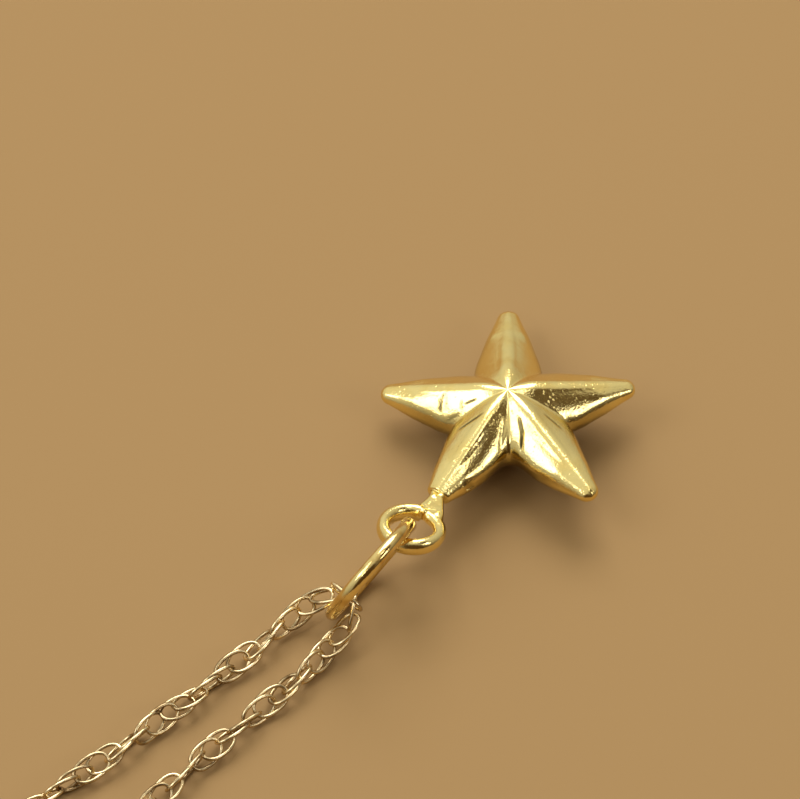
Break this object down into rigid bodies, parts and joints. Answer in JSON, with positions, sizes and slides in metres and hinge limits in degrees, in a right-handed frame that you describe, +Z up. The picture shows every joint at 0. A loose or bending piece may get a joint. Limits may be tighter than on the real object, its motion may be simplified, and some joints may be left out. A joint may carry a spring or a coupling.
{
  "type": "star pendant necklace",
  "caption": "Puffed star pendant with a soldered wire loop, hung by a jump ring on a fine rope chain that closes with a ring clasp, lying on a table.",
  "frame": {"origin": "middle of the bottom of the whole necklace's box, on the surface that it lies on", "axes": "+Z up from the surface, +Y along the necklace from the clasp to the star"},
  "size_m": [0.0868, 0.1852, 0.006],
  "materials": {
    "star_gold": "matte gold plate with small casting pits, polished on the flanks",
    "ring_gold": "polished gold plate with fine scratches",
    "chain_gold": "pale gold plate, slightly tarnished between the links"
  },
  "bodies": {
    "root": {"star": "star_gold", "jump_ring": "ring_gold", "chain": "chain_gold", "clasp": "chain_gold"}
  },
  "joints": []
}
